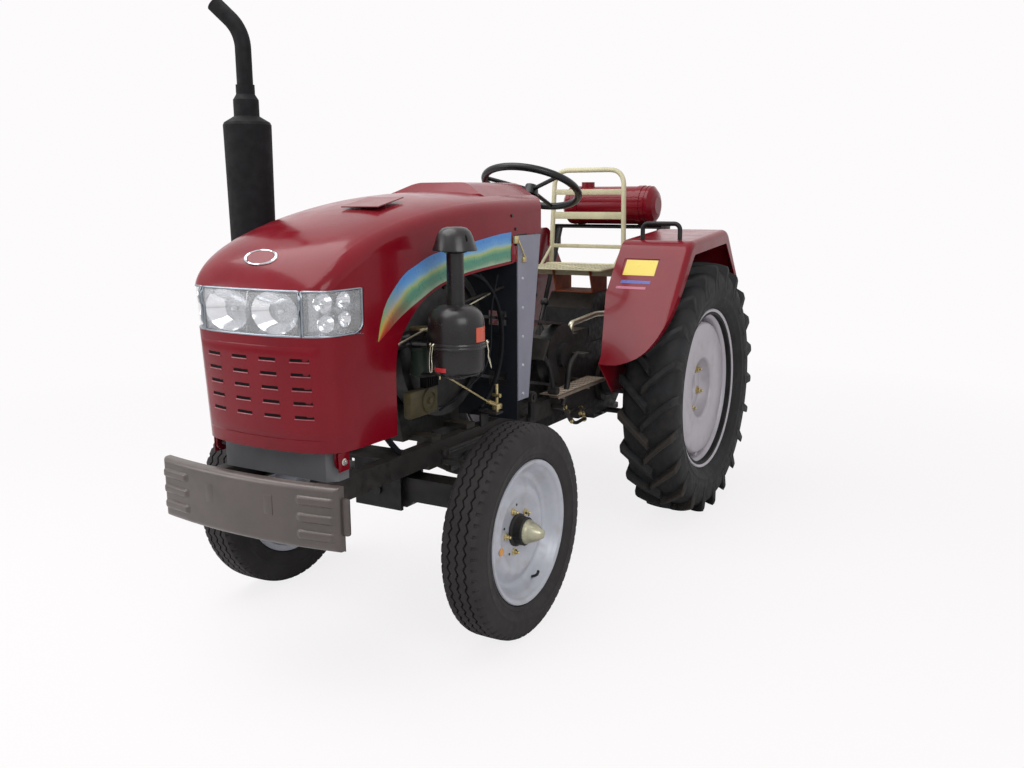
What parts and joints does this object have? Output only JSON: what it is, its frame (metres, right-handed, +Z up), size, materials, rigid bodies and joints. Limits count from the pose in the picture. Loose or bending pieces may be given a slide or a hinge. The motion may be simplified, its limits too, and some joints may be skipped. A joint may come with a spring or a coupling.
{
  "type": "compact farm tractor",
  "caption": "Compact farm tractor with belt drive, tilting hood, steered front wheels, lugged rear tyres under folded fenders, open seat, cross fuel tank and rear hitch.",
  "frame": {"origin": "on the ground, on the centre plane, half way between the front of the bumper and the ends of the lower links", "axes": "+Z up, -Y forward, +X to the tractor's left"},
  "size_m": [1.228, 2.7909, 1.8973],
  "materials": {
    "red_paint": "deep glossy maroon-red enamel",
    "grey_paint": "grey-brown metallic enamel",
    "light_grey_paint": "light blue-grey enamel",
    "black_paint": "satin black chassis enamel",
    "engine_paint": "dark painted casting",
    "pulley_iron": "dark machined iron",
    "belt_rubber": "black belt rubber",
    "matte_black": "heat-proof matte black",
    "checker_plate": "dusty checker plate",
    "seat_zinc": "cream zinc-like enamel",
    "bracket_orange": "orange-brown primer",
    "chrome_steel": "plated steel",
    "black_plastic": "black moulded grip",
    "lamp_glass": "clear lens over bright reflectors",
    "tyre_rubber": "black tyre rubber",
    "wheel_silver": "silver wheel enamel"
  },
  "bodies": {
    "chassis": {"frame_rails": "black_paint", "front_crossmembers": "black_paint", "front_axle_beam": "black_paint", "bumper": "grey_paint", "nose_plate": "grey_paint", "engine_block": "engine_paint", "cylinder_head": "engine_paint", "water_tank": "engine_paint", "drive_pulleys": "pulley_iron", "drive_belts": "belt_rubber", "air_cleaner_with_pipe": "matte_black", "exhaust_stack": "matte_black", "firewall": "black_paint", "dash_pillars": "light_grey_paint", "gearbox_case": "engine_paint", "rear_axle_housing": "engine_paint", "lift_housing": "engine_paint", "step_shelf": "checker_plate", "foot_platforms": "checker_plate", "foot_pedals": "matte_black", "control_levers": "black_plastic", "steering_column": "black_paint", "seat_bracket": "bracket_orange", "seat_pan": "seat_zinc", "seat_frame": "seat_zinc", "fuel_tank": "red_paint", "tank_bracket": "black_paint", "fender_left": "red_paint", "fender_right": "red_paint", "grab_handles": "matte_black", "drawbar": "black_paint"},
    "hood": {"hood_shell": "red_paint", "headlamps": "lamp_glass"},
    "steering_wheel": {"steering_wheel": "black_plastic"},
    "knuckle_left": {"knuckle_left": "black_paint"},
    "knuckle_right": {"knuckle_right": "black_paint"},
    "tie_rod": {"tie_rod": "black_paint"},
    "pitman_arm": {"pitman_arm": "black_paint"},
    "drag_link": {"drag_link": "black_paint"},
    "lift_arms": {"lift_arms": "black_paint"},
    "lift_rods": {"lift_rods": "black_paint"},
    "lower_links": {"lower_links": "black_paint"},
    "front_wheel_left": {"front_tyre_left": "tyre_rubber", "front_rim_left": "wheel_silver"},
    "rear_wheel_left": {"rear_tyre_left": "tyre_rubber", "rear_rim_left": "wheel_silver"},
    "front_wheel_right": {"front_tyre_right": "tyre_rubber", "front_rim_right": "wheel_silver"},
    "rear_wheel_right": {"rear_tyre_right": "tyre_rubber", "rear_rim_right": "wheel_silver"}
  },
  "joints": [
    {"name": "hood_hinge", "type": "hinge", "parent": "chassis", "child": "hood", "pos_m": [0, -1.219, 0.623], "axis": [1, 0, 0], "range_deg": [0, 50]},
    {"name": "steer_left", "type": "hinge", "parent": "chassis", "child": "knuckle_left", "pos_m": [0.3, -0.727, 0.325], "axis": [0, 0, 1], "range_deg": [-30, 30]},
    {"name": "steer_right", "type": "hinge", "parent": "chassis", "child": "knuckle_right", "pos_m": [-0.3, -0.727, 0.325], "axis": [0, 0, 1], "range_deg": [-30, 30]},
    {"name": "tie_rod_pin", "type": "hinge", "parent": "knuckle_left", "child": "tie_rod", "pos_m": [0.3, -0.597, 0.3375], "axis": [0, 0, 1], "range_deg": [-30, 30]},
    {"name": "pitman_shaft", "type": "hinge", "parent": "chassis", "child": "pitman_arm", "pos_m": [0.24, -0.21, 0.615], "axis": [1, 0, 0], "range_deg": [-30, 30]},
    {"name": "drag_link_pin", "type": "hinge", "parent": "pitman_arm", "child": "drag_link", "pos_m": [0.22, -0.21, 0.535], "axis": [1, 0, 0], "range_deg": [-30, 30]},
    {"name": "steering_shaft", "type": "hinge", "parent": "chassis", "child": "steering_wheel", "pos_m": [0, 0.23, 1.341], "axis": [0, 0.4067, 0.9135], "range_deg": [-420, 420]},
    {"name": "front_axle_left", "type": "hinge", "parent": "knuckle_left", "child": "front_wheel_left", "pos_m": [0.466, -0.727, 0.325], "axis": [1, 0, 0], "continuous": true},
    {"name": "front_axle_right", "type": "hinge", "parent": "knuckle_right", "child": "front_wheel_right", "pos_m": [-0.466, -0.727, 0.325], "axis": [1, 0, 0], "continuous": true},
    {"name": "rear_axle_left", "type": "hinge", "parent": "chassis", "child": "rear_wheel_left", "pos_m": [0.503, 0.69, 0.519], "axis": [1, 0, 0], "continuous": true},
    {"name": "rear_axle_right", "type": "hinge", "parent": "chassis", "child": "rear_wheel_right", "pos_m": [-0.503, 0.69, 0.519], "axis": [1, 0, 0], "continuous": true},
    {"name": "rock_shaft", "type": "hinge", "parent": "chassis", "child": "lift_arms", "pos_m": [0, 0.81, 0.82], "axis": [1, 0, 0], "range_deg": [-12, 40]},
    {"name": "lower_link_pins", "type": "hinge", "parent": "chassis", "child": "lower_links", "pos_m": [0, 0.77, 0.362], "axis": [1, 0, 0], "range_deg": [-7, 21]},
    {"name": "lift_rod_pins", "type": "hinge", "parent": "lift_arms", "child": "lift_rods", "pos_m": [0, 1.02, 0.82], "axis": [1, 0, 0], "range_deg": [-41, 13]}
  ],
  "couplings": [
    {"joint": "steer_right", "follows": "steer_left", "ratio": 1},
    {"joint": "tie_rod_pin", "follows": "steer_left", "ratio": -1},
    {"joint": "pitman_shaft", "follows": "steer_left", "ratio": -1},
    {"joint": "drag_link_pin", "follows": "steer_left", "ratio": 1},
    {"joint": "steering_shaft", "follows": "steer_left", "ratio": 14},
    {"joint": "lower_link_pins", "follows": "rock_shaft", "ratio": 0.52},
    {"joint": "lift_rod_pins", "follows": "rock_shaft", "ratio": -1}
  ]
}
